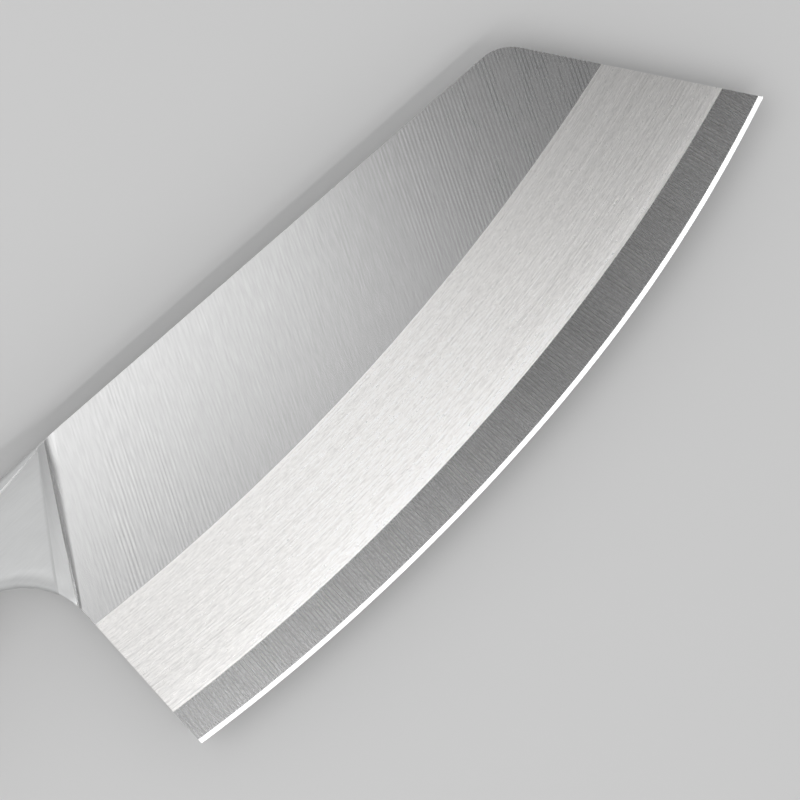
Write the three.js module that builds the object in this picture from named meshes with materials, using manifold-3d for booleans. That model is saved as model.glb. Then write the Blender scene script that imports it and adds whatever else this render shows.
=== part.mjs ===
// A broad kitchen cleaver with a full tang, two half bolsters and two riveted wooden scales.
// It lies on its left side: X runs from butt to tip, Y from cutting edge to spine, Z through its thickness.
// Lengths along X count from the heel line, where the blade ends at the knuckles, and drops from the spine.
import * as THREE from 'three';
import { mergeVertices } from 'three/addons/utils/BufferGeometryUtils.js';
import Module from 'manifold-3d';

const wasm = await Module();
wasm.setup();

// Blade outline, in millimetres
const BLADE_THICKNESS = 2.5;
const SPINE_LENGTH = 171.2;
const FRONT_LEAN = THREE.MathUtils.degToRad(37.9);
const FRONT_CORNER_RADIUS = 13;
const EDGE_BREAK = 0.3;

// The three lines that bound the grinds: drop at the heel, drop at the front edge, radius of the sweep
const CHEEK_HEEL_DROP = 43.2;
const CHEEK_FRONT_DROP = 20.6;
const CHEEK_SWEEP_RADIUS = 562.8;
const BEVEL_HEEL_DROP = 72.7;
const BEVEL_FRONT_DROP = 45.5;
const BEVEL_SWEEP_RADIUS = 525.6;
const EDGE_HEEL_DROP = 83.4;
const EDGE_FRONT_DROP = 54.1;
const EDGE_SWEEP_RADIUS = 481;
const BEVEL_THICKNESS = 1.2;
const FACET_THICKNESS = 0.45;
const FACET_WIDTH = 1.25;

// Bolsters: their front line leans from the spine down to the heel
const BOLSTER_REACH = 24.3;
const BOLSTER_FOOT = 40;
const BOLSTER_LENGTH = 24;
const BOLSTER_LIP = 0.15;
const RUN_OUT_RADIUS = 13.5;
const RUN_OUT_ANGLE = THREE.MathUtils.degToRad(12);
const ARRIS_SETBACK = 5.8;
const ARRIS_THICKNESS = 11.2;

// Handle outline
const HANDLE_LENGTH = 122;
const HANDLE_THICKNESS = 19;
const HANDLE_DROOP = THREE.MathUtils.degToRad(1);
const HANDLE_EDGE_RADIUS = 3;
const CHOIL_RADIUS = 21;
const SWELL_FROM_BUTT = 58;
const SWELL_DROP = 31.5;
const WAIST_FROM_BUTT = 29;
const WAIST_DROP = 30;
const BUTT_DROP = 38;
const BUTT_TOP_RADIUS = 12;
const BUTT_FOOT_RADIUS = 9;

// Rivets: each a stud pressed into a socket
const RIVET_FROM_SEAM = 22;
const RIVET_FROM_BUTT = 32;
const RIVET_INSET = 11.8;
const RIVET_HEAD_DIAMETER = 8;
const RIVET_HEAD_DEPTH = 2.4;
const SOCKET_DIAMETER = 5;
const SHANK_DIAMETER = 3.2;

// Clearances
const SEAM_GAP = 0.15;
const RIVET_CLEARANCE = 0.1;
const SHANK_CLEARANCE = 0.1;
const RIVET_END_GAP = 0.5;

// Tool allowances: how far a cutting form runs past the piece that it shapes
const OVERRUN = 4;
const TANG_ROOT = 3;
const GRIND_RUN_OUT = 2;

const SWEEP_STEPS = 40;
const ROUND_STEPS = 4;
const CURVE_STEPS = 8;
const RIVET_SIDES = 24;

const HALF_BLADE = BLADE_THICKNESS / 2;
const HALF_HANDLE = HANDLE_THICKNESS / 2;
const RIVET_NAMES = ['front', 'middle', 'rear'];

const bladeSteel = new THREE.MeshStandardMaterial({ color: 0xc6c8c9, roughness: 0.34, metalness: 1 });
const bolsterSteel = new THREE.MeshStandardMaterial({ color: 0xbfc2c2, roughness: 0.42, metalness: 1 });
const rivetSteel = new THREE.MeshStandardMaterial({ color: 0xcfd0d0, roughness: 0.3, metalness: 1 });
const wood = new THREE.MeshStandardMaterial({ color: 0x3b2418, roughness: 0.55, metalness: 0 });

// A closed geometry as a solid that can be joined and cut
function solid(geometry) {
  geometry.deleteAttribute('normal');
  geometry.deleteAttribute('uv');
  const merged = mergeVertices(geometry, 1e-4);
  return new wasm.Manifold(new wasm.Mesh({
    numProp: 3,
    vertProperties: merged.attributes.position.array,
    triVerts: new Uint32Array(merged.index.array),
  }));
}

function piece(name, body, material) {
  const { vertProperties, triVerts } = body.getMesh();
  const geometry = new THREE.BufferGeometry();
  geometry.setAttribute('position', new THREE.BufferAttribute(vertProperties, 3));
  geometry.setIndex(new THREE.BufferAttribute(triVerts, 1));
  geometry.computeVertexNormals();
  const mesh = new THREE.Mesh(geometry, material);
  mesh.name = name;
  return mesh;
}

// A plate of the given outline, centred on the blade's middle plane, with its edges broken or rounded
function plate(outline, thickness, edge, steps) {
  const geometry = new THREE.ExtrudeGeometry(outline, {
    depth: thickness - 2 * edge,
    bevelEnabled: edge > 0,
    bevelThickness: edge,
    bevelSize: edge,
    bevelOffset: -edge,
    bevelSegments: steps,
    curveSegments: CURVE_STEPS,
  });
  return solid(geometry.translate(0, 0, edge - thickness / 2));
}

// The front edge of the blade, and the top line of the handle that droops behind the bolster
const frontAt = (drop) => SPINE_LENGTH + drop * Math.tan(FRONT_LEAN);
const handleTopAt = (x) => (x - BOLSTER_REACH) * Math.tan(HANDLE_DROOP);

// One grind line: an arc that bows towards the edge, from the heel line to the front edge
function sweep(heelDrop, frontDrop, radius) {
  const heel = new THREE.Vector2(0, -heelDrop);
  const front = new THREE.Vector2(frontAt(frontDrop), -frontDrop);
  const chord = front.clone().sub(heel);
  const rise = Math.sqrt(radius ** 2 - chord.lengthSq() / 4);
  const upward = new THREE.Vector2(-chord.y, chord.x).setLength(rise);
  const centre = heel.clone().lerp(front, 0.5).add(upward);
  const overrun = OVERRUN / radius;
  const start = heel.sub(centre).angle() - overrun;
  const end = front.sub(centre).angle() + overrun;
  return (t) => {
    const angle = THREE.MathUtils.lerp(start, end, t);
    return new THREE.Vector2(Math.cos(angle), Math.sin(angle)).multiplyScalar(radius).add(centre);
  };
}

// The wedge left by the grinding wheels: rulings from the cheek line to the bevel line,
// on to the narrow edge facet and down to the edge itself, the same on both sides
function grindWedge() {
  const cheekLine = sweep(CHEEK_HEEL_DROP, CHEEK_FRONT_DROP, CHEEK_SWEEP_RADIUS);
  const bevelLine = sweep(BEVEL_HEEL_DROP, BEVEL_FRONT_DROP, BEVEL_SWEEP_RADIUS);
  const edgeLine = sweep(EDGE_HEEL_DROP, EDGE_FRONT_DROP, EDGE_SWEEP_RADIUS);
  const positions = [];
  const indices = [];
  const runOutHeight = THREE.MathUtils.lerp(HALF_BLADE, BEVEL_THICKNESS / 2, -GRIND_RUN_OUT);
  for (let step = 0; step <= SWEEP_STEPS; step++) {
    const t = step / SWEEP_STEPS;
    const bevel = bevelLine(t);
    const edge = edgeLine(t);
    const runOut = cheekLine(t).lerp(bevel, -GRIND_RUN_OUT);
    const facet = edge.clone().add(bevel.clone().sub(edge).setLength(FACET_WIDTH));
    positions.push(
      runOut.x, runOut.y, runOutHeight,
      bevel.x, bevel.y, BEVEL_THICKNESS / 2,
      facet.x, facet.y, FACET_THICKNESS / 2,
      edge.x, edge.y, 0,
      facet.x, facet.y, -FACET_THICKNESS / 2,
      bevel.x, bevel.y, -BEVEL_THICKNESS / 2,
      runOut.x, runOut.y, -runOutHeight,
    );
  }
  const ring = positions.length / 3 / (SWEEP_STEPS + 1);
  for (let step = 0; step < SWEEP_STEPS; step++) {
    for (let corner = 0; corner < ring; corner++) {
      const a = step * ring + corner;
      const b = step * ring + (corner + 1) % ring;
      indices.push(a, b, a + ring, b, b + ring, a + ring);
    }
  }
  const last = SWEEP_STEPS * ring;
  for (let corner = 1; corner < ring - 1; corner++) {
    indices.push(0, corner + 1, corner, last, last + corner, last + corner + 1);
  }
  const geometry = new THREE.BufferGeometry();
  geometry.setAttribute('position', new THREE.Float32BufferAttribute(positions, 3));
  geometry.setIndex(indices);
  return solid(geometry);
}

// The blade's outline ahead of the bolster, left deep so that the grind makes the cutting edge
function bladeOutline() {
  const depth = EDGE_HEEL_DROP + EDGE_FRONT_DROP;
  const tangent = FRONT_CORNER_RADIUS * Math.tan(Math.PI / 4 - FRONT_LEAN / 2);
  const shape = new THREE.Shape();
  shape.moveTo(BOLSTER_REACH, 0);
  shape.lineTo(SPINE_LENGTH - tangent, 0);
  shape.absarc(
    SPINE_LENGTH - tangent, -FRONT_CORNER_RADIUS, FRONT_CORNER_RADIUS, Math.PI / 2, FRONT_LEAN, true,
  );
  shape.lineTo(frontAt(depth), -depth);
  shape.lineTo(0, -depth);
  shape.lineTo(0, -BOLSTER_FOOT);
  return shape;
}

// The outline that tang, bolsters and scales share, from the heel round the butt to the spine
function traceHandle(shape) {
  const neckDrop = BOLSTER_FOOT - CHOIL_RADIUS;
  const buttFoot = BUTT_FOOT_RADIUS - HANDLE_LENGTH;
  const buttTop = BUTT_TOP_RADIUS - HANDLE_LENGTH;
  const lowerLine = [
    [-CHOIL_RADIUS, -neckDrop],
    [SWELL_FROM_BUTT - HANDLE_LENGTH, -SWELL_DROP],
    [WAIST_FROM_BUTT - HANDLE_LENGTH, -WAIST_DROP],
    [buttFoot, -BUTT_DROP],
  ];
  shape.absarc(-CHOIL_RADIUS, -BOLSTER_FOOT, CHOIL_RADIUS, 0, Math.PI / 2, false);
  for (let i = 1; i < lowerLine.length; i++) {
    const [fromX, fromY] = lowerLine[i - 1];
    const [x, y] = lowerLine[i];
    const middle = (fromX + x) / 2;
    shape.bezierCurveTo(middle, fromY, middle, y, x, y);
  }
  shape.absarc(
    buttFoot, BUTT_FOOT_RADIUS - BUTT_DROP, BUTT_FOOT_RADIUS, -Math.PI / 2, -Math.PI, true,
  );
  shape.absarc(
    buttTop, handleTopAt(buttTop) - BUTT_TOP_RADIUS / Math.cos(HANDLE_DROOP), BUTT_TOP_RADIUS,
    Math.PI, Math.PI / 2 + HANDLE_DROOP, true,
  );
  return shape;
}

function tangOutline() {
  const shape = new THREE.Shape();
  shape.moveTo(BOLSTER_REACH + TANG_ROOT, 0);
  shape.lineTo(0, -BOLSTER_FOOT - TANG_ROOT);
  shape.lineTo(0, -BOLSTER_FOOT);
  traceHandle(shape);
  shape.lineTo(BOLSTER_REACH, 0);
  return shape;
}

function gripOutline() {
  const front = BOLSTER_REACH + OVERRUN;
  const shape = new THREE.Shape();
  shape.moveTo(front, handleTopAt(front));
  shape.lineTo(front, -BOLSTER_FOOT);
  shape.lineTo(0, -BOLSTER_FOOT);
  return traceHandle(shape);
}

// A bar of the given side profile, laid along the bolster's leaning front line:
// profile x counts forward from that line, profile y is the height above the blade's middle plane
const LEAN = Math.atan2(BOLSTER_REACH, BOLSTER_FOOT);
function leaningBar(profile) {
  const forward = new THREE.Vector3(Math.cos(LEAN), -Math.sin(LEAN), 0);
  const up = new THREE.Vector3(0, 0, 1);
  const along = forward.clone().cross(up);
  const reach = HANDLE_LENGTH + BOLSTER_REACH;
  const place = new THREE.Matrix4().makeBasis(forward, up, along);
  place.setPosition(BOLSTER_REACH - along.x * reach, -along.y * reach, 0);
  const geometry = new THREE.ExtrudeGeometry(profile, {
    depth: 2 * reach,
    bevelEnabled: false,
    curveSegments: CURVE_STEPS,
  });
  return solid(geometry.applyMatrix4(place));
}

// Lip on the blade, hollow run-out, straight shoulder up to an arris, then a side that swells to the scale
function bolsterProfile() {
  const lip = HALF_BLADE + BOLSTER_LIP;
  const shape = new THREE.Shape();
  shape.moveTo(0, HALF_BLADE);
  shape.lineTo(0, lip);
  shape.absarc(0, lip + RUN_OUT_RADIUS, RUN_OUT_RADIUS, -Math.PI / 2, -Math.PI / 2 - RUN_OUT_ANGLE, true);
  shape.lineTo(-ARRIS_SETBACK, ARRIS_THICKNESS / 2);
  shape.lineTo(-BOLSTER_LENGTH, HALF_HANDLE);
  shape.lineTo(-BOLSTER_LENGTH, HALF_BLADE);
  return shape;
}

function scaleProfile() {
  const seam = -BOLSTER_LENGTH - SEAM_GAP;
  const shape = new THREE.Shape();
  shape.moveTo(seam, HALF_BLADE);
  shape.lineTo(seam, HANDLE_THICKNESS);
  shape.lineTo(-2 * HANDLE_LENGTH, HANDLE_THICKNESS);
  shape.lineTo(-2 * HANDLE_LENGTH, HALF_BLADE);
  return shape;
}

// Rivets stand on a line inset from the handle's top, spaced evenly from the seam to the butt
const seamTop = BOLSTER_REACH - (BOLSTER_LENGTH + SEAM_GAP) / Math.cos(LEAN);
const firstRivet = seamTop - RIVET_INSET * Math.tan(LEAN) - RIVET_FROM_SEAM;
const lastRivet = RIVET_FROM_BUTT - HANDLE_LENGTH;
const rivetPlaces = RIVET_NAMES.map((name, i) => {
  const x = THREE.MathUtils.lerp(firstRivet, lastRivet, i / (RIVET_NAMES.length - 1));
  return { name, x, y: handleTopAt(x) - RIVET_INSET };
});

// A turned shape about the rivet's axis, from a profile of radius and height
function turned(profile) {
  const points = profile.map(([radius, height]) => new THREE.Vector2(radius, height));
  return new THREE.LatheGeometry(points, RIVET_SIDES).rotateX(Math.PI / 2);
}

function rivetHoles() {
  const hole = SOCKET_DIAMETER / 2 + RIVET_CLEARANCE;
  const counterbore = RIVET_HEAD_DIAMETER / 2 + RIVET_CLEARANCE;
  const seat = HALF_HANDLE - RIVET_HEAD_DEPTH;
  const cutters = rivetPlaces.map(({ x, y }) => solid(turned([
    [0, -HANDLE_THICKNESS],
    [hole, -HANDLE_THICKNESS],
    [hole, seat],
    [counterbore, seat],
    [counterbore, HANDLE_THICKNESS],
    [0, HANDLE_THICKNESS],
  ]).translate(x, y, 0)));
  return cutters.reduce((all, cutter) => all.add(cutter));
}

const headRadius = RIVET_HEAD_DIAMETER / 2;
const headSeat = HALF_HANDLE - RIVET_HEAD_DEPTH;
const socketFloor = -headSeat;
function rivetSocket() {
  const bore = SHANK_DIAMETER / 2 + SHANK_CLEARANCE;
  const mouth = headSeat - RIVET_END_GAP;
  return solid(turned([
    [0, -HALF_HANDLE],
    [headRadius, -HALF_HANDLE],
    [headRadius, -headSeat],
    [SOCKET_DIAMETER / 2, -headSeat],
    [SOCKET_DIAMETER / 2, mouth],
    [bore, mouth],
    [bore, socketFloor],
    [0, socketFloor],
  ]));
}

function rivetStud() {
  const tip = socketFloor + RIVET_END_GAP;
  return solid(turned([
    [0, tip],
    [SHANK_DIAMETER / 2, tip],
    [SHANK_DIAMETER / 2, headSeat],
    [headRadius, headSeat],
    [headRadius, HALF_HANDLE],
    [0, HALF_HANDLE],
  ]));
}

const holes = rivetHoles();
const ground = plate(bladeOutline(), BLADE_THICKNESS, EDGE_BREAK, 1).intersect(grindWedge());
const tang = plate(tangOutline(), BLADE_THICKNESS, 0, 0);
const grip = plate(gripOutline(), HANDLE_THICKNESS, HANDLE_EDGE_RADIUS, ROUND_STEPS);
const bolster = grip.intersect(leaningBar(bolsterProfile()));
const scale = grip.intersect(leaningBar(scaleProfile())).subtract(holes);

const knife = new THREE.Group();
knife.add(piece('blade', ground.add(tang).subtract(holes), bladeSteel));
for (const [side, direction] of [['right', 1], ['left', -1]]) {
  const halves = [
    piece(`${side}_bolster`, bolster, bolsterSteel),
    piece(`${side}_scale`, scale, wood),
  ];
  for (const half of halves) {
    half.scale.z = direction;
    knife.add(half);
  }
}
for (const { name, x, y } of rivetPlaces) {
  const stud = piece(`${name}_rivet_stud`, rivetStud(), rivetSteel);
  const socket = piece(`${name}_rivet_socket`, rivetSocket(), rivetSteel);
  stud.position.set(x, y, 0);
  socket.position.set(x, y, 0);
  knife.add(stud, socket);
}

// The origin lies under the middle of the knife, on the surface that it rests on
const bounds = new THREE.Box3().setFromObject(knife, true);
const middle = bounds.getCenter(new THREE.Vector3());
knife.position.set(-middle.x, -middle.y, -bounds.min.z);
const root = new THREE.Group();
root.add(knife);

export default root;
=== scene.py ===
import math

import bmesh
import bpy
from mathutils import Matrix, Vector
from mathutils.geometry import interpolate_bezier, intersect_line_sphere_2d


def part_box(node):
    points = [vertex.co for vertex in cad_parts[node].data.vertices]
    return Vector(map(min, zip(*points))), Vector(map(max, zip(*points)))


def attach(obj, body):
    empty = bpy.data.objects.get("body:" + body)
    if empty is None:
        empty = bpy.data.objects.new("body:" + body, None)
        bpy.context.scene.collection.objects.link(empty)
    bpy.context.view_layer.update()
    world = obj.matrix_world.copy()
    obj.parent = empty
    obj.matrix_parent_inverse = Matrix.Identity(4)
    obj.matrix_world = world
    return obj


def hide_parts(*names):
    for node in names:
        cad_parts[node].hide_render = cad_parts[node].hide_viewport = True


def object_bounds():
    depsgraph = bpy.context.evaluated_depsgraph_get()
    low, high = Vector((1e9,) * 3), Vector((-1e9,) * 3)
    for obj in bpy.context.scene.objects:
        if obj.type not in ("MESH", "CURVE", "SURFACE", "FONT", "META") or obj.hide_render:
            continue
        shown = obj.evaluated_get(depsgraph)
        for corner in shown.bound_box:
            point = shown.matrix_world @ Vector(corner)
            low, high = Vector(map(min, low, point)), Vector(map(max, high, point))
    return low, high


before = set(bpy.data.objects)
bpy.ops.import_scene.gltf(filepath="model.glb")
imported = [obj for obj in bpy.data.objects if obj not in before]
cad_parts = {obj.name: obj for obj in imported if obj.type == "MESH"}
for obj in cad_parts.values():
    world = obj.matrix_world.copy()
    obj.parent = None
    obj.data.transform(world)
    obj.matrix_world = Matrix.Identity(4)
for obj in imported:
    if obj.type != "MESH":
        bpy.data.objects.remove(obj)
cad_low, cad_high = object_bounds()

# Blade
# The blade and its tang are one sheet of stainless steel, cut to outline and ground alike on both sides:
# a flat cheek, a wide first bevel, a narrow second bevel and a honed facet at the edge. The grain slants
# on the cheek, runs lengthwise on the wide bevel and stands square to the edge on the narrow one.
blade_low, blade_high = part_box("blade")
blade_half = (blade_high.z - blade_low.z) / 2
middle = (blade_high.z + blade_low.z) / 2
spine = blade_high.y
handle_length = 0.122
heel = blade_low.x + handle_length

spine_length = 0.1711
front_lean = math.radians(37.9)
front_corner_radius = 0.0112
cheek_radius = 0.5628
cheek_drops = (0.0432, 0.0206)
bevel_radius = 0.5256
bevel_drops = (0.07273, 0.04514)
bevel_half = 0.0006
edge_radius = 0.481
edge_drops = (0.08345, 0.05356)
facet_width = 0.00125
facet_half = 0.000225
# Ground by hand, the lower lines are no true arcs: they run flatter at the heel and rounder at the tip.
bevel_waves = (0.00005, -0.00024, 0.00010)
edge_waves = (0.00024, -0.00055, 0.00013)
edge_break = 0.00028
bolster_reach = 0.0243
bolster_foot = 0.040
bolster_lean = math.atan2(bolster_reach, bolster_foot)
forward = Vector((math.cos(bolster_lean), -math.sin(bolster_lean), 0))
sweep_steps = 56
corner_steps = 12
break_steps = 2


def at(along, drop, height=0.0):
    """A place on the knife: along from the heel line, down from the spine, out from the middle plane."""
    return Vector((heel + along, spine - drop, middle + height))


def front_at(drop):
    """How far along the blade its front edge lies at this drop."""
    return spine_length + drop * math.tan(front_lean)


def sweep_centre(drops, radius):
    """The centre of an arc that crosses the heel line and the front edge at these two drops."""
    heel_drop, front_drop = drops
    start = at(0, heel_drop)
    end = at(front_at(front_drop), front_drop)
    chord = end - start
    upward = Vector((-chord.y, chord.x, 0)).normalized()
    return (start + end) / 2 + upward * math.sqrt(radius**2 - chord.length_squared / 4)


def swept_line(bm, centre, radius, height, waves=()):
    """One grind line, spun about its centre from the heel line to the front edge, with its slow waves."""
    below_edge = 0.1
    heel_line = (at(0, 0), at(0, below_edge))
    front_line = (at(front_at(0), 0), at(front_at(below_edge), below_edge))
    ends = []
    for top, foot in (heel_line, front_line):
        crossings = intersect_line_sphere_2d(top.xy, foot.xy, centre.xy, radius, False)
        ends.append(min((spot for spot in crossings if spot), key=lambda spot: spot.y))
    start, end = (end - centre.xy for end in ends)
    pivot = Vector((centre.x, centre.y, middle + height))
    first = bm.verts.new((*ends[0], middle + height))
    bmesh.ops.spin(
        bm, geom=[first], cent=pivot, axis=(0, 0, 1), angle=-start.angle_signed(end), steps=sweep_steps
    )
    bm.verts.ensure_lookup_table()
    verts = [first, *bm.verts[-sweep_steps:]]
    for step, vert in enumerate(verts):
        outward = (vert.co - pivot).normalized()
        for half_waves, reach in enumerate(waves, start=1):
            vert.co += outward * reach * math.sin(half_waves * math.pi * step / sweep_steps)
    return verts, [bm.edges.get(pair) for pair in zip(verts, verts[1:])]


def line_to(bm, vert, point):
    """Draws a straight line from the pen's vert to a point."""
    made = bmesh.ops.extrude_vert_indiv(bm, verts=[vert])["verts"][0]
    made.co = point
    return made


def turn_to(bm, vert, centre, angle, steps):
    """Draws an arc from the pen's vert round a centre."""
    made = bmesh.ops.spin(bm, geom=[vert], cent=centre, axis=(0, 0, 1), angle=angle, steps=steps)
    return next(item for item in made["geom_last"] if isinstance(item, bmesh.types.BMVert))


def curve_to(bm, vert, first, second, point, steps):
    """Draws a curve from the pen's vert to a point, pulled by two handles."""
    for place in interpolate_bezier(vert.co.copy(), first, second, point, steps + 1)[1:]:
        vert = line_to(bm, vert, place)
    return vert


handle_droop = math.radians(1)
choil_radius = 0.021
swell = (0.058 - handle_length, 0.0315)
waist = (0.029 - handle_length, 0.0300)
butt_drop = 0.038
butt_top_radius = 0.012
butt_foot_radius = 0.009
wave_steps = 16


def flow_to(bm, vert, point):
    """A wave of the handle's lower line, level at both ends."""
    half_way = (vert.co.x + point.x) / 2
    first = Vector((half_way, vert.co.y, point.z))
    second = Vector((half_way, point.y, point.z))
    return curve_to(bm, vert, first, second, point, wave_steps)


def handle_top(along):
    """The drop of the handle's top line, which falls slowly from the bolster to the butt."""
    return (bolster_reach - along) * math.tan(handle_droop)


def draw_handle(bm, vert, height):
    """The handle's outline from the choil's foot, under the grip and round the butt to the top line."""
    foot = butt_foot_radius - handle_length
    top = butt_top_radius - handle_length
    top_drop = handle_top(top) + butt_top_radius / math.cos(handle_droop)
    vert = turn_to(bm, vert, at(-choil_radius, bolster_foot, height), math.pi / 2, corner_steps)
    for along, drop in (swell, waist, (foot, butt_drop)):
        vert = flow_to(bm, vert, at(along, drop, height))
    vert = turn_to(bm, vert, at(foot, butt_drop - butt_foot_radius, height), -math.pi / 2, corner_steps)
    vert = line_to(bm, vert, at(-handle_length, top_drop, height))
    return turn_to(bm, vert, at(top, top_drop, height), handle_droop - math.pi / 2, corner_steps)


merge_gap = 1e-6
least_edge = 1e-7


def close_mesh(bm):
    """Merges what meets and turns the faces outwards."""
    bmesh.ops.remove_doubles(bm, verts=bm.verts, dist=merge_gap)
    bmesh.ops.dissolve_degenerate(bm, edges=bm.edges, dist=least_edge)
    bmesh.ops.recalc_face_normals(bm, faces=bm.faces)


def finish_mesh(bm, name, materials, sharp_angle):
    """Closes the mesh and makes the object, smooth except across edges sharper than an angle in degrees."""
    close_mesh(bm)
    for face in bm.faces:
        face.smooth = True
    mesh = bpy.data.meshes.new(name)
    bm.to_mesh(mesh)
    bm.free()
    mesh.set_sharp_from_angle(angle=math.radians(sharp_angle))
    for material in materials:
        mesh.materials.append(material)
    piece = bpy.data.objects.new(name, mesh)
    bpy.context.scene.collection.objects.link(piece)
    return piece


bolster_length = 0.024
seam_gap = 0.00015
seam_back = bolster_length + seam_gap
rivet_inset = 0.0118
rivet_from_seam = 0.022
rivet_from_butt = 0.032
rivet_barrel_radius = 0.0025
rivet_clearance = 0.0001
rivet_hole_radius = rivet_barrel_radius + rivet_clearance
rivet_hole_sides = 32
seam_along = bolster_reach - seam_back / math.cos(bolster_lean) - rivet_inset * math.tan(bolster_lean)
first_rivet = seam_along - rivet_from_seam
last_rivet = rivet_from_butt - handle_length
rivet_places = []
for share in (0, 0.5, 1):
    along = first_rivet + share * (last_rivet - first_rivet)
    rivet_places.append((along, handle_top(along) + rivet_inset))

# The right half is drawn first: the grinds between their lines, then the flat with its rivet holes.
bm = bmesh.new()
cheek_centre = sweep_centre(cheek_drops, cheek_radius)
bevel_centre = sweep_centre(bevel_drops, bevel_radius)
edge_centre = sweep_centre(edge_drops, edge_radius)
cheek_verts, cheek_edges = swept_line(bm, cheek_centre, cheek_radius, blade_half)
bevel_edges = swept_line(bm, bevel_centre, bevel_radius, bevel_half, bevel_waves)[1]
facet_edges = swept_line(bm, edge_centre, edge_radius - facet_width, facet_half, edge_waves)[1]
edge_edges = swept_line(bm, edge_centre, edge_radius, 0, edge_waves)[1]
grinds = ((cheek_edges, bevel_edges), (bevel_edges, facet_edges), (facet_edges, edge_edges))
for zone, (upper, lower) in enumerate(grinds, start=1):
    for face in bmesh.ops.bridge_loops(bm, edges=[*upper, *lower])["faces"]:
        face.material_index = zone

drawn = set(bm.edges)
corner_tangent = front_corner_radius * math.tan((math.pi / 2 - front_lean) / 2)
corner = spine_length - corner_tangent
corner_centre = at(corner, front_corner_radius, blade_half)
vert = line_to(bm, cheek_verts[0], at(0, bolster_foot, blade_half))
vert = draw_handle(bm, vert, blade_half)
vert = line_to(bm, vert, at(bolster_reach, 0, blade_half))
vert = line_to(bm, vert, at(corner, 0, blade_half))
vert = turn_to(bm, vert, corner_centre, front_lean - math.pi / 2, corner_steps)
bm.edges.new((vert, cheek_verts[-1]))
for along, drop in rivet_places:
    spot = Matrix.Translation(at(along, drop, blade_half))
    bmesh.ops.create_circle(bm, radius=rivet_hole_radius, segments=rivet_hole_sides, matrix=spot)
flat_edges = [edge for edge in bm.edges if edge not in drawn]
bmesh.ops.triangle_fill(bm, use_beauty=True, edges=[*flat_edges, *cheek_edges], normal=(0, 0, 1))

honed = set(edge_edges)
rim = [edge for edge in bm.edges if edge.is_boundary and edge not in honed]
walls = bmesh.ops.extrude_edge_only(bm, edges=rim)["geom"]
for vert in walls:
    if isinstance(vert, bmesh.types.BMVert):
        vert.co.z = middle
bmesh.ops.mirror(
    bm, geom=[*bm.verts, *bm.edges, *bm.faces], axis="Z", merge_dist=merge_gap,
    matrix=Matrix.Translation((0, 0, -middle)),
)
close_mesh(bm)

# The blade's long square edges are broken, but not the tang's, which meet the scales and bolsters.
square_edge = math.radians(60)
breaks = []
for edge in bm.edges:
    ends = [vert.co for vert in edge.verts]
    thick = all(abs(end.z - middle) > bevel_half - merge_gap for end in ends)
    ahead = all((end - at(bolster_reach, 0)).dot(forward) > -merge_gap for end in ends)
    before_heel = all(end.x > heel - merge_gap for end in ends)
    if thick and ahead and before_heel and edge.calc_face_angle(0) > square_edge:
        breaks.append(edge)
bmesh.ops.bevel(
    bm, geom=breaks, offset=edge_break, segments=break_steps, profile=0.5, affect="EDGES", material=-1,
    clamp_overlap=True,
)


def add(tree, kind, inputs=None, **settings):
    """One shader node, with its settings, and each input set to a value or linked to a socket."""
    made = tree.nodes.new(kind)
    for name, value in settings.items():
        setattr(made, name, value)
    for key, value in (inputs or {}).items():
        if isinstance(value, bpy.types.NodeSocket):
            tree.links.new(value, made.inputs[key])
        else:
            made.inputs[key].default_value = value
    return made


def maths(tree, operation, *values):
    """One sum, product or the like of numbers or sockets."""
    made = add(tree, "ShaderNodeMath", dict(enumerate(values)), operation=operation)
    return made.outputs[0]


def vectors(tree, operation, *values):
    """One step of vector arithmetic that gives a vector."""
    made = add(tree, "ShaderNodeVectorMath", dict(enumerate(values)), operation=operation)
    return made.outputs["Vector"]


def measure(tree, operation, *values):
    """One step of vector arithmetic that gives a number."""
    made = add(tree, "ShaderNodeVectorMath", dict(enumerate(values)), operation=operation)
    return made.outputs["Value"]


def ramp(tree, value, low, high, to_low, to_high):
    """Carries a value from one range to another and holds it at the ends."""
    made = add(
        tree, "ShaderNodeMapRange",
        {"Value": value, "From Min": low, "From Max": high, "To Min": to_low, "To Max": to_high},
    )
    return made.outputs["Result"]


def blend(tree, share, first, second):
    """Mixes two numbers: the first at a share of 0, the second at 1."""
    made = add(tree, "ShaderNodeMix", {"Factor": share, "A": first, "B": second}, data_type="FLOAT")
    return made.outputs["Result"]


def place_on(tree):
    """The place of a spot on the piece, in the knife's own frame."""
    return add(tree, "ShaderNodeTexCoord").outputs["Object"]


def distance_from(tree, point):
    """How far a spot on the piece lies from a point."""
    return measure(tree, "DISTANCE", place_on(tree), point)


def distance_along(tree, start, direction):
    """How far a spot on the piece lies from a start, measured along a direction."""
    return measure(tree, "DOT_PRODUCT", vectors(tree, "SUBTRACT", place_on(tree), start), direction)


def new_group(name, inputs, outputs):
    """A shader node group with its sockets, and the two nodes that carry them."""
    group = bpy.data.node_groups.new(name, "ShaderNodeTree")
    for label, kind, value in inputs:
        socket = group.interface.new_socket(label, in_out="INPUT", socket_type="NodeSocket" + kind)
        socket.default_value = value
    for label, kind in outputs:
        group.interface.new_socket(label, in_out="OUTPUT", socket_type="NodeSocket" + kind)
    return group, group.nodes.new("NodeGroupInput"), group.nodes.new("NodeGroupOutput")


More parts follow.
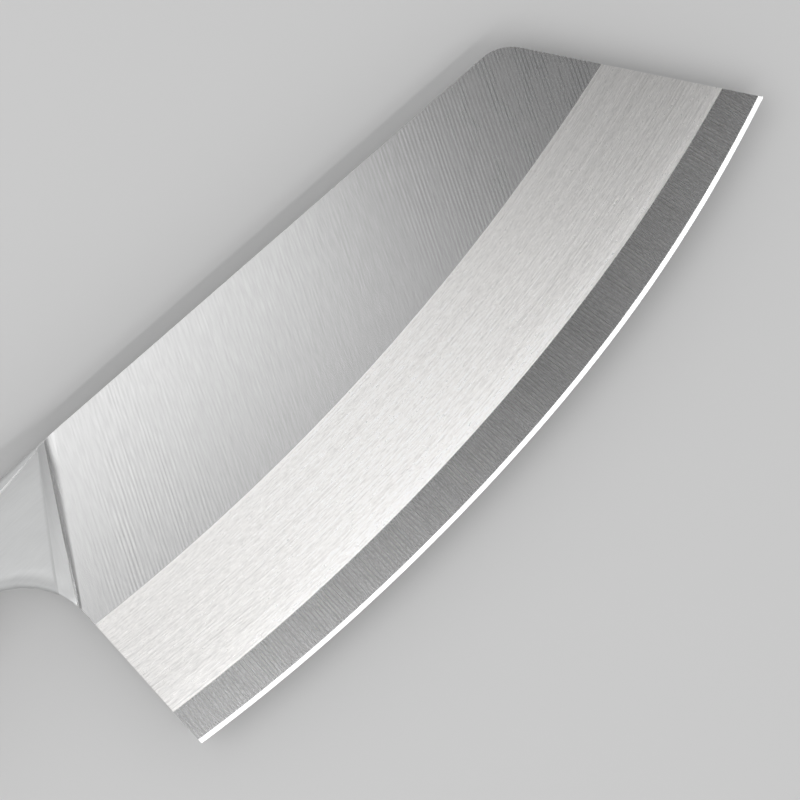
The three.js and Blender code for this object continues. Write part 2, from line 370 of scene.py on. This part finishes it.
# Lines left by a grinding wheel: they run out from a centre, or round it where Lengthwise is 1.
# Even ones stand a pitch apart, in patches; the others are streaks of about that width. Between
# them lie shorter flecks.
grind_lines, taken, given = new_group(
    "grind_lines",
    [
        ("Centre", "Vector", (0, 0, 0)),
        ("Radius", "Float", 0.5),
        ("Lengthwise", "Float", 0.0),
        ("Pitch", "Float", 0.001),
        ("Length", "Float", 0.05),
        ("Fleck", "Float", 0.008),
        ("Even", "Float", 0.0),
        ("Strength", "Float", 1.0),
    ],
    [("Coarse", "Float"), ("Fine", "Float"), ("Long", "Float")],
)
offset = vectors(grind_lines, "SUBTRACT", place_on(grind_lines), taken.outputs["Centre"])
parts = add(grind_lines, "ShaderNodeSeparateXYZ", {0: offset}).outputs
angle = maths(grind_lines, "ARCTAN2", parts[0], maths(grind_lines, "MULTIPLY", parts[1], -1.0))
arc = maths(grind_lines, "MULTIPLY", angle, taken.outputs["Radius"])
flat = add(grind_lines, "ShaderNodeCombineXYZ", {0: parts[0], 1: parts[1]}).outputs[0]
reach = measure(grind_lines, "LENGTH", flat)
across = blend(grind_lines, taken.outputs["Lengthwise"], arc, reach)
down = blend(grind_lines, taken.outputs["Lengthwise"], reach, arc)
side_shift = 900.0
other_side = maths(grind_lines, "MULTIPLY", parts[2], side_shift)


def streaks(width_share, length_share, detail, extent="Length"):
    """Noise drawn out along the lines, as wide and long as these shares of their pitch and extent."""
    width = maths(grind_lines, "MULTIPLY", taken.outputs["Pitch"], width_share)
    length = maths(grind_lines, "MULTIPLY", taken.outputs[extent], length_share)
    stretched = add(
        grind_lines, "ShaderNodeCombineXYZ",
        {
            0: maths(grind_lines, "DIVIDE", across, width),
            1: maths(grind_lines, "DIVIDE", down, length),
            2: other_side,
        },
    ).outputs[0]
    noise = add(
        grind_lines, "ShaderNodeTexNoise",
        {"Vector": stretched, "Scale": 1.0, "Detail": detail, "Roughness": 0.6},
    )
    return noise.outputs["Fac"]


mean_level = 0.5
slow_drift = (9.0, 4.0, 1.6)
quick_drift = (2.5, 1.5, 0.35)
turns = maths(grind_lines, "DIVIDE", across, taken.outputs["Pitch"])
for width_share, length_share, most in (slow_drift, quick_drift):
    drift = maths(grind_lines, "MULTIPLY", streaks(width_share, length_share, detail=0.0), most)
    turns = maths(grind_lines, "ADD", turns, drift)
ridges = maths(grind_lines, "SINE", maths(grind_lines, "MULTIPLY", turns, 2 * math.pi))
patchy = streaks(width_share=4.0, length_share=0.7, detail=1.0)
patches = ramp(grind_lines, patchy, low=0.36, high=0.64, to_low=0.14, to_high=0.42)
even_lines = maths(grind_lines, "ADD", maths(grind_lines, "MULTIPLY", ridges, patches), mean_level)
uneven_lines = streaks(width_share=1.2, length_share=1.0, detail=2.0)
coarse = blend(grind_lines, taken.outputs["Even"], uneven_lines, even_lines)
coarse = blend(grind_lines, taken.outputs["Strength"], mean_level, coarse)
grind_lines.links.new(coarse, given.inputs["Coarse"])
faint = ramp(grind_lines, taken.outputs["Strength"], low=0.0, high=1.0, to_low=0.2, to_high=1.0)
flecks = streaks(width_share=0.4, length_share=1.0, detail=1.0, extent="Fleck")
grind_lines.links.new(blend(grind_lines, faint, mean_level, flecks), given.inputs["Fine"])
long_lines = streaks(width_share=1.8, length_share=40.0, detail=1.0)
grind_lines.links.new(long_lines, given.inputs["Long"])


def ground_steel(name, tone, roughness, contrast, hairlines, depth, lines):
    """Ground stainless steel: the lines and long hairlines vary its tone, and the lines its relief."""
    fine_share = 0.4
    quiet = 0.3
    loud = 0.7
    roughness_swing = 0.04
    material = bpy.data.materials.new(name)
    material.use_nodes = True
    tree = material.node_tree
    shader = tree.nodes["Principled BSDF"]
    grain = add(tree, "ShaderNodeGroup", node_tree=grind_lines)
    for key, value in lines.items():
        grain.inputs[key].default_value = value
    mixed = blend(tree, fine_share, grain.outputs["Coarse"], grain.outputs["Fine"])
    level = ramp(tree, mixed, quiet, loud, 1 - contrast, 1 + contrast)
    hairline = ramp(tree, grain.outputs["Long"], quiet, loud, 1 - hairlines, 1 + hairlines)
    level = maths(tree, "MULTIPLY", level, hairline)
    colour = add(tree, "ShaderNodeVectorMath", {0: tone, "Scale": level}, operation="SCALE").outputs[0]
    tree.links.new(vectors(tree, "MINIMUM", colour, (1, 1, 1)), shader.inputs["Base Color"])
    polish = ramp(tree, mixed, quiet, loud, roughness + roughness_swing, roughness - roughness_swing)
    tree.links.new(polish, shader.inputs["Roughness"])
    bump = add(tree, "ShaderNodeBump", {"Height": mixed, "Distance": depth, "Strength": 1.0})
    tree.links.new(bump.outputs["Normal"], shader.inputs["Normal"])
    shader.inputs["Metallic"].default_value = 1.0
    return material


def vary_tone(tree, share):
    """Multiplies a ground steel's tone by a share that changes over the piece."""
    scaling = next(node for node in tree.nodes if getattr(node, "operation", "") == "SCALE")
    level = scaling.inputs["Scale"]
    tree.links.new(maths(tree, "MULTIPLY", level.links[0].from_socket, share), level)


lengthwise = Vector((1, 0, 0))


def painted_light_along(tree, spot, near, far, share_near, share_far):
    """A share of the tone that changes along the knife, away from a spot: painted light and shade that
    copies the lamps' falloff.
    """
    away = maths(tree, "ABSOLUTE", distance_along(tree, at(spot, 0), lengthwise))
    return ramp(tree, away, near, far, share_near, share_far)


slanted = {"Centre": at(2.0, -4.6), "Radius": 5.0}
cheek_steel = ground_steel(
    "cheek_steel", tone=(0.613, 0.613, 0.613), roughness=0.25, contrast=0.45, hairlines=0.006,
    depth=0.0000001, lines={**slanted, "Pitch": 0.00098, "Length": 0.035, "Fleck": 0.005, "Even": 1.0},
)
# The cheek's lines are strongest at the front and low down at the heel, and fade towards the bolster.
tree = cheek_steel.node_tree
along = distance_along(tree, at(0, 0), lengthwise)
ahead = distance_along(tree, at(bolster_reach, 0), forward)
depth = distance_from(tree, cheek_centre)
near_heel = ramp(tree, along, low=0.010, high=0.055, to_low=0.4, to_high=0.0)
low_down = ramp(tree, depth, low=cheek_radius - 0.036, high=cheek_radius - 0.004, to_low=0.3, to_high=1.0)
at_heel = maths(tree, "MULTIPLY", near_heel, low_down)
at_front = ramp(tree, along, low=0.120, high=0.185, to_low=0.04, to_high=1.0)
clear = ramp(tree, ahead, low=0.002, high=0.014, to_low=0.0, to_high=1.0)
strength = maths(tree, "MULTIPLY", maths(tree, "ADD", at_heel, at_front), clear)
grain = next(node for node in tree.nodes if node.bl_idname == "ShaderNodeGroup")
tree.links.new(strength, grain.inputs["Strength"])

bevel_lines = {"Centre": bevel_centre, "Radius": bevel_radius, "Lengthwise": 1.0}
# The wide bevel's light tone is painted light: the same steel as the cheek, lightened for the lamps its
# lengthwise grain catches.
wide_bevel_steel = ground_steel(
    "wide_bevel_steel", tone=(0.893, 0.88, 0.866), roughness=0.30, contrast=0.26, hairlines=0.095,
    depth=0.000001, lines={**bevel_lines, "Pitch": 0.0002, "Length": 0.0028, "Fleck": 0.0009},
)
# This bevel's borders carry painted highlights: a lighter hairline at the cheek and a lighter strip above
# the narrow bevel.
tree = wide_bevel_steel.node_tree
high = distance_from(tree, cheek_centre)
low = distance_from(tree, bevel_centre)
vary_tone(tree, ramp(tree, high, cheek_radius, cheek_radius + 0.0005, to_low=1.12, to_high=1.0))
vary_tone(tree, ramp(tree, low, bevel_radius - 0.0060, bevel_radius - 0.0010, to_low=1.0, to_high=1.09))
# Painted light and shade: the wide bevel is lightest near its middle and darker towards both ends.
vary_tone(tree, painted_light_along(tree, spot=0.085, near=0.015, far=0.110, share_near=1.06, share_far=0.82))

edge_lines = {"Centre": edge_centre, "Radius": edge_radius}
# The narrow bevel's dark tone is painted shade: the same steel, darkened for the dark room it reflects.
narrow_bevel_steel = ground_steel(
    "narrow_bevel_steel", tone=(0.278, 0.278, 0.278), roughness=0.27, contrast=0.11, hairlines=0.03,
    depth=0.0000002, lines={**edge_lines, "Pitch": 0.0011, "Length": 0.05, "Fleck": 0.02, "Even": 1.0},
)
tree = narrow_bevel_steel.node_tree
# Painted shade: the narrow bevel is darkest two thirds of the way to the tip and lighter away from there.
vary_tone(tree, painted_light_along(tree, spot=0.135, near=0.010, far=0.120, share_near=0.78, share_far=1.34))
# The honed facet is polished, and its near-white tone is painted highlight on top of that.
honed_steel = ground_steel(
    "honed_steel", tone=(0.92, 0.92, 0.92), roughness=0.22, contrast=0.02, hairlines=0.02,
    depth=0.000001, lines={**edge_lines, "Lengthwise": 1.0, "Pitch": 0.0003, "Length": 0.02},
)
# The grinds meet at a degree or two, and still at a crisp line.
blade_steels = [cheek_steel, wide_bevel_steel, narrow_bevel_steel, honed_steel]
blade = finish_mesh(bm, "cleaver_blade", blade_steels, sharp_angle=0.4)
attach(blade, "root")
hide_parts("blade")

# Bolsters
# Two cheeks of stainless steel, brazed to the tang and ground in place with a fine belt. A hollow root
# runs out onto the blade, a shoulder climbs to a soft arris, and the side swells back to the scale.
handle_half = (cad_high.z - cad_low.z) / 2
handle_edge_radius = 0.003
bolster_lip = 0.00002
run_out_radius = 0.0148
run_out_angle = math.radians(10.2)
run_out_steps = 8
root_back = run_out_radius * math.sin(run_out_angle)
root_height = run_out_radius * (1 - math.cos(run_out_angle))
root_sink = 0.8
root_width = 0.00025
root_rise = 0.000045
shoulder_hollow = 0.00002
shoulder_steps = 7
arris_back = 0.0046
arris_half = 0.0054
arris_radius = 0.0008
arris_steps = 8
quarters = (0.25, 0.5, 0.75, 1)


def bolster_profile():
    """Distances behind the front line with heights over the middle plane, from the lip to the seam."""
    lip = blade_half + bolster_lip
    arris = Vector((arris_back, arris_half, 0))
    bm = bmesh.new()
    vert = bm.verts.new((0, lip, 0))
    vert = turn_to(bm, vert, (0, lip + run_out_radius, 0), run_out_angle, run_out_steps)
    vert = line_to(bm, vert, vert.co + Vector((root_width, root_rise, 0)))
    root = vert.co.copy()
    shoulder = arris - root
    shoulder_angle = math.atan2(shoulder.y, shoulder.x)
    side_angle = math.atan2(handle_half - arris_half, bolster_length - arris_back)
    inward = Vector((math.sin(shoulder_angle), -math.cos(shoulder_angle), 0))
    start = arris - shoulder.normalized() * arris_radius * math.tan((shoulder_angle - side_angle) / 2)
    for step in range(1, shoulder_steps + 1):
        share = step / shoulder_steps
        bow = 4 * share * (1 - share)
        vert = line_to(bm, vert, root.lerp(start, share) + inward * shoulder_hollow * bow)
    vert = turn_to(bm, vert, start + inward * arris_radius, side_angle - shoulder_angle, arris_steps)
    soft = vert.co.copy()
    for share in quarters:
        vert = line_to(bm, vert, soft.lerp((bolster_length, handle_half, 0), share))
    profile = [vert.co.xy for vert in bm.verts]
    bm.free()
    return profile


def round_to(bm, vert, corner, point, bulge, steps):
    """From the pen to a point round a corner: straight across it, or as full as a quarter of an ellipse."""
    ellipse_pull = 0.5523
    first = vert.co.lerp(corner, ellipse_pull * bulge)
    second = point.lerp(corner, ellipse_pull * bulge)
    return curve_to(bm, vert, first, second, point, steps)


def bolster_top(back):
    """The point on the handle's top line at this distance behind the bolster's front."""
    run = back / math.cos(handle_droop + bolster_lean)
    return at(bolster_reach - run * math.cos(handle_droop), run * math.sin(handle_droop))


front_splay = math.radians(1.1)
root_splay = math.radians(-1.7)
arris_splay = math.radians(2.3)


def slice_lean(back):
    """How far the slice at this distance leans: the root narrows to the foot and the shoulder widens."""
    stations = (0, root_back, arris_back, bolster_length)
    splays = (front_splay, root_splay, arris_splay, 0)
    for near, far, near_splay, far_splay in zip(stations, stations[1:], splays, splays[1:]):
        if back <= far:
            break
    return bolster_lean + near_splay + (far_splay - near_splay) * (back - near) / (far - near)


def slice_axes(lean):
    """The directions ahead and down in a slice that leans this far."""
    ahead = Vector((math.cos(lean), -math.sin(lean), 0))
    downward = Vector((-math.sin(lean), -math.cos(lean), 0))
    return ahead, downward


rim_start = 0.00005
rim_growth = 0.175
rim_most = 1.2
rim_bulge = 0.8
rim_steps = 6
wall_share = 0.9
foot_fade = 0.005
foot_steps = 8


def bolster_section(bm, back, height, side):
    """One closed slice of a bolster: up the top wall and round its edge, over the side, into the choil."""
    share = back / bolster_length
    lean = slice_lean(back)
    ahead, downward = slice_axes(lean)
    top = bolster_top(back)
    centre = at(-choil_radius, bolster_foot)
    away = (centre - top).dot(ahead)
    foot = centre - ahead * away - downward * math.sqrt(choil_radius**2 - away**2)
    rise = height - blade_half
    facet = min(rim_start + rim_growth * back, handle_edge_radius, rise * rim_most)
    facet_drop = min(facet, rise * wall_share)
    bulge = rim_bulge + (1 - rim_bulge) * share
    in_root = min(1, max(0, (arris_back - back) / (arris_back - root_back)))
    sink = min(rise, root_height) * root_sink * in_root
    most_drop = (rise - sink) * wall_share
    foot_drop = min(most_drop, most_drop * (1 - share) + handle_edge_radius * share)
    foot_run = handle_edge_radius / downward.dot((centre - foot).normalized()) + foot_fade * (1 - share)
    top_in = top + downward * facet / math.cos(handle_droop + lean)
    foot_in = foot - downward * foot_run
    low = Vector((0, 0, side * blade_half))
    high = Vector((0, 0, side * height))
    foot_high = Vector((0, 0, side * (height - sink)))
    first = bm.verts.new(top + low)
    vert = line_to(bm, first, top + high - Vector((0, 0, side * facet_drop)))
    vert = round_to(bm, vert, top + high, top_in + high, bulge, rim_steps)
    for step in quarters:
        vert = line_to(bm, vert, top_in.lerp(foot_in, step) + high.lerp(foot_high, step))
    foot_side = foot + foot_high - Vector((0, 0, side * foot_drop))
    vert = round_to(bm, vert, foot + foot_high, foot_side, 1, foot_steps)
    vert = line_to(bm, vert, foot + low)
    bm.edges.new((vert, first))


straight = {"Centre": at(0, -5.0), "Radius": 5.0, "Lengthwise": 1.0}
bolster_steel = ground_steel(
    "bolster_steel", tone=(0.56, 0.565, 0.565), roughness=0.48, contrast=0.025, hairlines=0.01,
    depth=0.000002, lines={**straight, "Pitch": 0.0004, "Length": 0.02},
)
shoulder_steel = ground_steel(
    "shoulder_steel", tone=(0.67, 0.675, 0.675), roughness=0.45, contrast=0.02, hairlines=0.01,
    depth=0.000001, lines={**slanted, "Pitch": 0.0004, "Length": 0.016},
)
run_out_steel = ground_steel(
    "run_out_steel", tone=(0.613, 0.613, 0.613), roughness=0.25, contrast=0.01, hairlines=0.01,
    depth=0.0000002, lines={**slanted, "Pitch": 0.0006, "Length": 0.016},
)
# The root's tone is darkened, most of all at its foot: painted shade for the crease between bolster and
# blade.
tree = run_out_steel.node_tree
root_top = bolster_top(root_back)
root_ahead, root_down = slice_axes(slice_lean(root_back))
down = distance_along(tree, root_top, root_down)
ahead = distance_along(tree, root_top, root_ahead)
in_root = ramp(tree, down, low=0, high=0.032, to_low=0.76, to_high=0.52)
vary_tone(tree, ramp(tree, ahead, low=0, high=0.0013, to_low=in_root, to_high=1.0))
# A near-white tone for the rounding's strip: painted highlight on the same steel.
painted_highlight_steel = ground_steel(
    "painted_highlight_steel", tone=(0.98, 0.98, 0.98), roughness=0.3, contrast=0.02, hairlines=0.01,
    depth=0.0000005, lines={**straight, "Pitch": 0.0004, "Length": 0.02},
)
bolster_steels = [bolster_steel, run_out_steel, shoulder_steel, painted_highlight_steel]
plain, run_out, shoulder, painted_highlight = range(len(bolster_steels))
# The strip of the rounding that gets a painted highlight is known by how far its faces turn up and
# outwards, where the light catches it.
painted_highlight_up = (-0.06, 0.2)
painted_highlight_out = 0.12
for name, side in (("right", 1), ("left", -1)):
    bm = bmesh.new()
    loops = []
    for back, height in bolster_profile():
        drawn = set(bm.edges)
        bolster_section(bm, back, height, side)
        loops.append([edge for edge in bm.edges if edge not in drawn])
    for step, (near, far) in enumerate(zip(loops, loops[1:])):
        for face in bmesh.ops.bridge_loops(bm, edges=[*near, *far])["faces"]:
            if step <= run_out_steps:
                face.material_index = run_out
            elif step <= run_out_steps + shoulder_steps:
                face.material_index = shoulder
            else:
                face.material_index = plain
    bmesh.ops.holes_fill(bm, edges=[edge for edge in bm.edges if edge.is_boundary], sides=0)
    bmesh.ops.recalc_face_normals(bm, faces=bm.faces)
    for face in bm.faces:
        on_rim = painted_highlight_up[0] < face.normal.y < painted_highlight_up[1] and face.normal.z * side > painted_highlight_out
        if on_rim and face.material_index != run_out:
            face.material_index = painted_highlight
    bolster = finish_mesh(bm, name + "_bolster_cheek", bolster_steels, sharp_angle=40)
    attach(bolster, "root")
    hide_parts(name + "_bolster")

# Scales
# Two slabs of dark hardwood, sawn to the tang's outline, with the rims rounded over and the sides
# oiled. Each is bored and counterbored for the rivets and butts against its bolster.
rivet_head_radius = 0.004
rivet_head_depth = 0.0024
rivet_sides = 40


def bore(bm, along, drop, side):
    """A counterbored hole's walls, from the scale's side to the tang; gives its outer and inner rims."""
    spot = at(along, drop)
    head_hole_radius = rivet_head_radius + rivet_clearance
    rim = bmesh.ops.create_circle(
        bm, radius=head_hole_radius, segments=rivet_sides,
        matrix=Matrix.Translation(spot + Vector((0, 0, side * handle_half))),
    )["verts"]
    outer = list({edge for vert in rim for edge in vert.link_edges})
    seat = side * (handle_half - rivet_head_depth)
    edges = outer
    for radius, height in (
        (head_hole_radius, seat),
        (rivet_hole_radius, seat),
        (rivet_hole_radius, side * blade_half),
    ):
        made = bmesh.ops.extrude_edge_only(bm, edges=edges)["geom"]
        for vert in (item for item in made if isinstance(item, bmesh.types.BMVert)):
            away = (vert.co.xy - spot.xy).normalized() * radius
            vert.co = (*(spot.xy + away), middle + height)
        edges = [item for item in made if isinstance(item, bmesh.types.BMEdge)]
    return outer, edges


def hardwood(name):
    """Dark close-grained hardwood: slanting growth rings, fibres and fine pores along the handle."""
    heart = at(0, 0.075, -0.03)
    ring_slant = 0.05
    ring_wander = 0.012
    rings_per_metre = 420.0
    fibre_share = 0.45
    fibre_relief = 0.35
    pore_tone = (0.006, 0.004, 0.003, 1)
    material = bpy.data.materials.new(name)
    material.use_nodes = True
    tree = material.node_tree
    shader = tree.nodes["Principled BSDF"]
    place = place_on(tree)
    along = add(tree, "ShaderNodeSeparateXYZ", {0: place}).outputs[0]
    drift = add(tree, "ShaderNodeTexNoise", {"Vector": place, "Scale": 22.0, "Detail": 2.0}).outputs["Fac"]
    from_heart = vectors(tree, "MULTIPLY", vectors(tree, "SUBTRACT", place, heart), (0, 1, 1))
    ring = measure(tree, "LENGTH", from_heart)
    for shift, share in ((along, ring_slant), (drift, ring_wander)):
        ring = maths(tree, "ADD", ring, maths(tree, "MULTIPLY", shift, share))
    rings = add(
        tree, "ShaderNodeTexNoise",
        {"W": ring, "Scale": rings_per_metre, "Detail": 3.0, "Roughness": 0.65},
        noise_dimensions="1D",
    ).outputs["Fac"]

    def fibre(scale, detail):
        """Noise drawn out along the handle."""
        stretched = vectors(tree, "MULTIPLY", place, scale)
        made = add(tree, "ShaderNodeTexNoise", {"Vector": stretched, "Scale": 1.0, "Detail": detail})
        return made.outputs["Fac"]

    fibres = fibre((55.0, 1500.0, 1500.0), detail=2.0)
    pitted = fibre((260.0, 3600.0, 3600.0), detail=0.0)
    pores = ramp(tree, pitted, low=0.63, high=0.72, to_low=0.0, to_high=1.0)
    shade = blend(tree, fibre_share, rings, fibres)
    tones = add(tree, "ShaderNodeValToRGB", {"Fac": shade})
    dark, light = tones.color_ramp.elements
    dark.position = 0.36
    dark.color = (0.014, 0.0075, 0.005, 1)
    light.position = 0.66
    light.color = (0.115, 0.058, 0.031, 1)
    tones.color_ramp.elements.new(0.5).color = (0.046, 0.023, 0.0135, 1)
    darker = add(
        tree, "ShaderNodeMix", {"Factor": pores, "A": tones.outputs["Color"], "B": pore_tone},
        data_type="RGBA",
    )
    tree.links.new(darker.outputs["Result"], shader.inputs["Base Color"])
    oiled = ramp(tree, shade, low=0.35, high=0.65, to_low=0.42, to_high=0.54)
    tree.links.new(oiled, shader.inputs["Roughness"])
    height = maths(tree, "SUBTRACT", maths(tree, "MULTIPLY", fibres, fibre_relief), pores)
    bump = add(tree, "ShaderNodeBump", {"Height": height, "Distance": 0.00004, "Strength": 0.7})
    tree.links.new(bump.outputs["Normal"], shader.inputs["Normal"])
    return material


handle_wood = hardwood("handle_wood")
seam = at(bolster_reach, 0) - forward * seam_back
round_steps = 7
flat_turn = 0.999
least_flat_area = 0.001
for name, side in (("right", 1), ("left", -1)):
    bm = bmesh.new()
    first = bm.verts.new(at(0, bolster_foot, side * blade_half))
    vert = draw_handle(bm, first, side * blade_half)
    vert = line_to(bm, vert, at(bolster_reach, 0, side * blade_half))
    vert = line_to(bm, vert, at(bolster_reach, bolster_foot, side * blade_half))
    bm.edges.new((vert, first))
    face = bmesh.ops.contextual_create(bm, geom=bm.edges[:])["faces"][0]
    made = bmesh.ops.extrude_face_region(bm, geom=[face], use_keep_orig=True)["geom"]
    raised = [item for item in made if isinstance(item, bmesh.types.BMVert)]
    bmesh.ops.translate(bm, verts=raised, vec=(0, 0, side * (handle_half - blade_half)))
    rim = [item for item in made if isinstance(item, bmesh.types.BMEdge)]
    bmesh.ops.recalc_face_normals(bm, faces=bm.faces)
    bmesh.ops.bevel(
        bm, geom=rim, offset=handle_edge_radius, segments=round_steps, profile=0.5, affect="EDGES",
        material=-1, clamp_overlap=True,
    )
    bmesh.ops.bisect_plane(
        bm, geom=[*bm.verts, *bm.edges, *bm.faces], plane_co=seam, plane_no=forward, clear_outer=True
    )
    bmesh.ops.holes_fill(bm, edges=[edge for edge in bm.edges if edge.is_boundary], sides=0)
    level_faces = [face for face in bm.faces if abs(face.normal.z) > flat_turn]
    flats = [face for face in level_faces if face.calc_area() > least_flat_area]
    outlines = [(face.calc_center_median().z, list(face.edges)) for face in flats]
    bmesh.ops.delete(bm, geom=flats, context="FACES_ONLY")
    bores = [bore(bm, along, drop, side) for along, drop in rivet_places]
    for height, outline in outlines:
        outer = abs(height - middle) > handle_half / 2
        rims = [edge for ends in bores for edge in ends[0 if outer else 1]]
        bmesh.ops.triangle_fill(bm, use_beauty=True, edges=[*outline, *rims], normal=(0, 0, 1))
    scale = finish_mesh(bm, name + "_handle_scale", [handle_wood], sharp_angle=25)
    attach(scale, "root")
    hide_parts(name + "_scale")

# Rivets
# Each is a pair turned from steel rod: a stud goes in from the right side and its shank is pressed
# into a hollow socket from the left. The heads are ground flush with the wood.
rivet_shank_radius = 0.0016
rivet_end_gap = 0.0005
head_break = 0.00012
rivet_steel = ground_steel(
    "rivet_steel", tone=(0.60, 0.60, 0.59), roughness=0.34, contrast=0.05, hairlines=0.02,
    depth=0.000003, lines={**straight, "Pitch": 0.00025, "Length": 0.006},
)
head_seat = handle_half - rivet_head_depth
stud_profile = (
    (0, handle_half),
    (rivet_head_radius - head_break, handle_half),
    (rivet_head_radius, handle_half - head_break),
    (rivet_head_radius, head_seat),
    (rivet_shank_radius, head_seat),
    (rivet_shank_radius, rivet_end_gap - head_seat),
    (0, rivet_end_gap - head_seat),
)
socket_profile = (
    (0, -handle_half),
    (rivet_head_radius - head_break, -handle_half),
    (rivet_head_radius, head_break - handle_half),
    (rivet_head_radius, -head_seat),
    (rivet_barrel_radius, -head_seat),
    (rivet_barrel_radius, head_seat - rivet_end_gap),
    (rivet_shank_radius + rivet_clearance, head_seat - rivet_end_gap),
    (rivet_shank_radius + rivet_clearance, -head_seat),
    (0, -head_seat),
)
for name, (along, drop) in zip(("front", "middle", "rear"), rivet_places):
    for part, profile in (("stud", stud_profile), ("socket", socket_profile)):
        bm = bmesh.new()
        vert = bm.verts.new(at(along, drop, profile[0][1]))
        for radius, height in profile[1:]:
            vert = line_to(bm, vert, at(along + radius, drop, height))
        bmesh.ops.spin(
            bm, geom=[*bm.verts, *bm.edges], cent=at(along, drop), axis=(0, 0, 1), angle=2 * math.pi,
            steps=rivet_sides, use_merge=True,
        )
        rivet = finish_mesh(bm, f"{name}_rivet_{part}_turned", [rivet_steel], sharp_angle=30)
        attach(rivet, "root")
        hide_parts(f"{name}_rivet_{part}")

# Floor
# A plain sheet of pale board that the knife lies on. Its matt paint gives no reflection, only a soft
# shadow under the blade.
floor_half = 3.0
floor_mesh = bpy.data.meshes.new("floor")
bm = bmesh.new()
bmesh.ops.create_grid(bm, x_segments=1, y_segments=1, size=floor_half)
bm.to_mesh(floor_mesh)
bm.free()
floor = bpy.data.objects.new("floor", floor_mesh)
bpy.context.scene.collection.objects.link(floor)
floor_paint = bpy.data.materials.new("floor_paint")
floor_paint.use_nodes = True
floor_shader = floor_paint.node_tree.nodes["Principled BSDF"]
floor_shader.inputs["Base Color"].default_value = (0.62, 0.62, 0.62, 1)
floor_shader.inputs["Roughness"].default_value = 0.9
floor_mesh.materials.append(floor_paint)

# Light
# A large soft box hangs beyond the butt on the spine's side, a narrow one and a wider strip on the
# edge's side. The room is pale at its walls and dim overhead.
scene = bpy.context.scene
scene.view_settings.view_transform = "Standard"
world = bpy.data.worlds.new("room")
world.use_nodes = True
sky = world.node_tree
direction = add(sky, "ShaderNodeTexCoord").outputs["Generated"]
climb = add(sky, "ShaderNodeSeparateXYZ", {0: direction}).outputs[2]
wall_light = 1.4
ceiling_light = 0.075
level = ramp(sky, climb, low=0.0, high=1.0, to_low=wall_light, to_high=ceiling_light)
sky.links.new(level, sky.nodes["Background"].inputs["Color"])
scene.world = world


def soft_box(name, place, size, power):
    """A rectangular lamp that shines straight down."""
    lamp = bpy.data.lights.new(name, "AREA")
    lamp.shape = "RECTANGLE"
    lamp.size, lamp.size_y = size
    lamp.energy = power
    box = bpy.data.objects.new(name, lamp)
    box.location = place
    scene.collection.objects.link(box)


soft_box("key_box", place=(-0.489, 0.542, 1.2), size=(1.222, 1.216), power=7.15)
soft_box("side_box", place=(-0.29, -0.395, 1.2), size=(1.62, 0.07), power=2.5)
soft_box("edge_strip", place=(0.05, -0.64, 1.15), size=(1.6, 0.3), power=2.2)

# Camera
# Nearly square on to the right side of the blade, through a long lens, and turned so that the spine
# climbs to the right.
view_tilt = math.radians(5)
view_roll = math.radians(-41.05)
view_distance = 0.7503
aim = at(0.09428, 0.05090, blade_half)
lens = bpy.data.cameras.new("camera")
lens.lens = 135
lens.sensor_width = 36
camera = bpy.data.objects.new("camera", lens)
turn = Matrix.Rotation(-view_tilt, 4, "X") @ Matrix.Rotation(view_roll, 4, "Z")
camera.matrix_world = Matrix.Translation(aim) @ turn @ Matrix.Translation((0, 0, view_distance))
scene.collection.objects.link(camera)
scene.camera = camera
